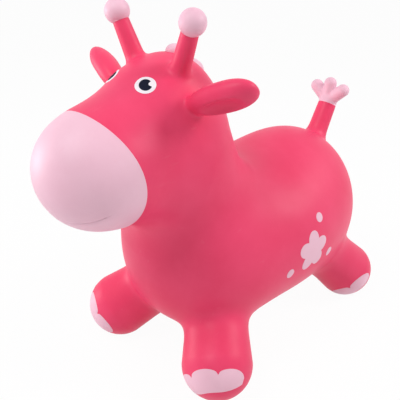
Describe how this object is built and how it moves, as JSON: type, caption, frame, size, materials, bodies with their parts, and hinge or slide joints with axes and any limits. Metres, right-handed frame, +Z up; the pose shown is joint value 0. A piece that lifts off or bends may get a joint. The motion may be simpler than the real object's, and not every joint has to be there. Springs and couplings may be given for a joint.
{
  "type": "inflatable ride-on hopper animal",
  "caption": "Inflatable hopper animal to sit on and bounce: barrel trunk, splayed ball-footed legs, horned head with ears to hold, tufted tail, belly valve.",
  "frame": {"origin": "on the ground, under the middle of the animal's length and width", "axes": "+Z up, -Y the way the animal faces, +X the animal's left side"},
  "size_m": [0.3146, 0.607, 0.5282],
  "materials": {
    "raspberry": "satin soft vinyl",
    "blush": "satin paint on soft vinyl",
    "white": "satin paint on soft vinyl",
    "navy": "satin paint on soft vinyl",
    "valve_white": "satin moulded plastic"
  },
  "bodies": {
    "body": {"trunk": "raspberry", "neck": "raspberry", "head": "raspberry", "muzzle": "blush", "mane": "blush", "left_eye_white": "white", "right_eye_white": "white", "left_pupil": "navy", "right_pupil": "navy", "left_ear_root": "raspberry", "right_ear_root": "raspberry", "left_horn_root": "raspberry", "right_horn_root": "raspberry", "tail_root": "raspberry", "left_front_leg_root": "raspberry", "right_front_leg_root": "raspberry", "left_hind_leg_root": "raspberry", "right_hind_leg_root": "raspberry", "flower_print": "blush", "front_dot_print": "blush", "upper_dot_print": "blush", "rear_dot_print": "blush", "valve_seat": "valve_white"},
    "left_front_limb": {"left_front_leg": "raspberry", "left_front_leg_toe_print": "blush"},
    "right_front_limb": {"right_front_leg": "raspberry", "right_front_leg_toe_print": "blush"},
    "left_hind_limb": {"left_hind_leg": "raspberry", "left_hind_leg_toe_print": "blush"},
    "right_hind_limb": {"right_hind_leg": "raspberry", "right_hind_leg_toe_print": "blush"},
    "left_ear_lobe": {"left_ear": "raspberry"},
    "right_ear_lobe": {"right_ear": "raspberry"},
    "left_horn_and_ball": {"left_horn": "raspberry", "left_horn_ball": "blush"},
    "right_horn_and_ball": {"right_horn": "raspberry", "right_horn_ball": "blush"},
    "tail_and_tuft": {"tail": "raspberry", "tail_tuft": "blush"},
    "plug": {"valve_plug": "valve_white"}
  },
  "joints": [
    {"name": "left_front_leg_give", "type": "slide", "parent": "body", "child": "left_front_limb", "axis": [-0.5675, 0.5797, 0.5846], "range_m": [0, 0.02], "stiffness_N_per_m": 2000, "springref_m": -0.004, "deforming": ["left_front_leg_root"]},
    {"name": "right_front_leg_give", "type": "slide", "parent": "body", "child": "right_front_limb", "axis": [0.5675, 0.5797, 0.5846], "range_m": [0, 0.02], "stiffness_N_per_m": 2000, "springref_m": -0.004, "deforming": ["right_front_leg_root"]},
    {"name": "left_hind_leg_give", "type": "slide", "parent": "body", "child": "left_hind_limb", "axis": [-0.2969, -0.6704, 0.68], "range_m": [0, 0.02], "stiffness_N_per_m": 2000, "springref_m": -0.004, "deforming": ["left_hind_leg_root"]},
    {"name": "right_hind_leg_give", "type": "slide", "parent": "body", "child": "right_hind_limb", "axis": [0.2969, -0.6704, 0.68], "range_m": [0, 0.02], "stiffness_N_per_m": 2000, "springref_m": -0.004, "deforming": ["right_hind_leg_root"]},
    {"name": "left_ear_bend", "type": "hinge", "parent": "body", "child": "left_ear_lobe", "pos_m": [0.082, -0.13144, 0.4245], "axis": [0, 1, 0], "range_deg": [-20, 20], "stiffness_Nm_per_rad": 0.5, "deforming": ["left_ear_root"]},
    {"name": "right_ear_bend", "type": "hinge", "parent": "body", "child": "right_ear_lobe", "pos_m": [-0.082, -0.13144, 0.4245], "axis": [0, -1, 0], "range_deg": [-20, 20], "stiffness_Nm_per_rad": 0.5, "deforming": ["right_ear_root"]},
    {"name": "left_horn_bend", "type": "hinge", "parent": "body", "child": "left_horn_and_ball", "pos_m": [0.0375, -0.12744, 0.4515], "axis": [1, 0, 0], "range_deg": [-15, 15], "stiffness_Nm_per_rad": 1, "deforming": ["left_horn_root"]},
    {"name": "right_horn_bend", "type": "hinge", "parent": "body", "child": "right_horn_and_ball", "pos_m": [-0.0375, -0.12744, 0.4515], "axis": [1, 0, 0], "range_deg": [-15, 15], "stiffness_Nm_per_rad": 1, "deforming": ["right_horn_root"]},
    {"name": "tail_bend", "type": "hinge", "parent": "body", "child": "tail_and_tuft", "pos_m": [0, 0.25056, 0.268], "axis": [0, 1, 0], "range_deg": [-20, 20], "stiffness_Nm_per_rad": 0.8, "deforming": ["tail_root"]},
    {"name": "plug_pull", "type": "slide", "parent": "body", "child": "plug", "axis": [0, 0, -1], "range_m": [0, 0.025]}
  ]
}
